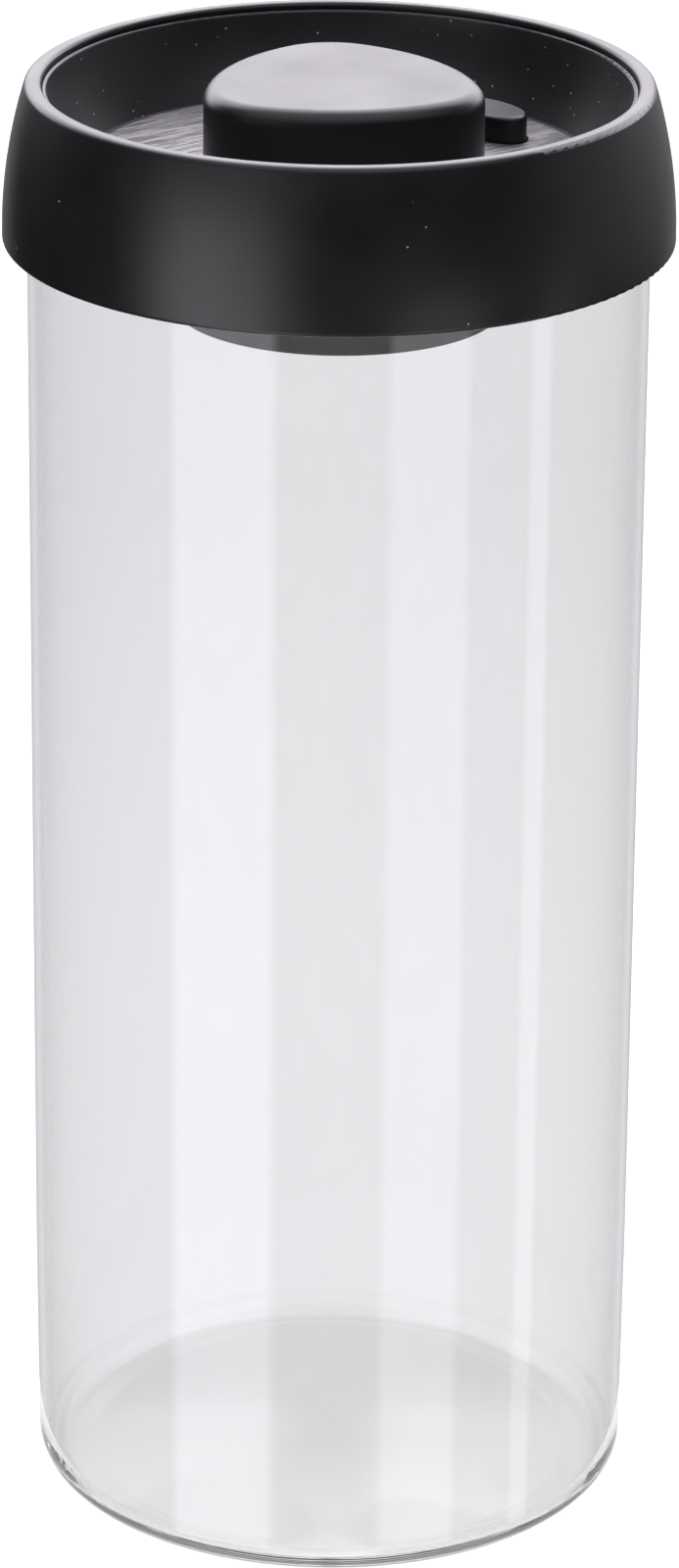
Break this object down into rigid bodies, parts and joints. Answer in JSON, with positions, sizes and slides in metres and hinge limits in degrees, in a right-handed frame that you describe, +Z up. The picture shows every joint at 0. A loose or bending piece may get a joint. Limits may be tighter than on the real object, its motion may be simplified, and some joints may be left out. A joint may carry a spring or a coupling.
{
  "type": "vacuum storage canister",
  "caption": "Straight clear glass canister with a black lid whose deck holds a three-sided vacuum pump button and an oval release valve.",
  "frame": {"origin": "centre of the base, on the surface the canister stands on", "axes": "+Z up along the canister's axis, +X from the pump button towards the release button"},
  "size_m": [0.108, 0.108, 0.2423],
  "materials": {
    "clear_glass": "clear, fire-polished",
    "black_shell": "satin, fine moulded grain",
    "black_bowl": "satin",
    "black_button": "satin",
    "inlay": "fine brushed grain",
    "inner_plastic": "as moulded",
    "cylinder_plastic": "glossy",
    "silicone": "translucent silicone",
    "steel": "zinc plated",
    "spring_steel": "drawn stainless wire",
    "felt": "pressed felt"
  },
  "bodies": {
    "jar": {"glass_jar": "clear_glass"},
    "lid": {"outer_shell": "black_shell", "inner_bowl": "black_bowl", "deck_plate": "inlay", "lid_base": "inner_plastic", "main_gasket": "silicone", "lid_screws": "steel", "pump_cylinder": "cylinder_plastic", "cylinder_seal": "silicone", "inlet_valve": "silicone", "dust_filter": "felt", "valve_cover": "inner_plastic"},
    "pump": {"pump_button": "black_button", "piston": "inner_plastic", "piston_seal": "silicone", "piston_screws": "steel", "exhaust_valve": "silicone", "pump_spring": "spring_steel"},
    "release": {"release_button": "black_button", "release_stem": "inner_plastic", "vent_seal": "silicone", "release_spring": "spring_steel"}
  },
  "joints": [
    {"name": "lid_lift", "type": "slide", "parent": "jar", "child": "lid", "axis": [0, 0, 1], "range_m": [0, 0.06]},
    {"name": "pump_press", "type": "slide", "parent": "lid", "child": "pump", "axis": [0, 0, -1], "range_m": [0, 0.012], "stiffness_N_per_m": 500, "springref_m": -0.01, "deforming": ["pump_spring"]},
    {"name": "release_press", "type": "slide", "parent": "lid", "child": "release", "axis": [0, 0, -1], "range_m": [0, 0.0025], "stiffness_N_per_m": 600, "springref_m": -0.003, "deforming": ["release_spring"]}
  ]
}
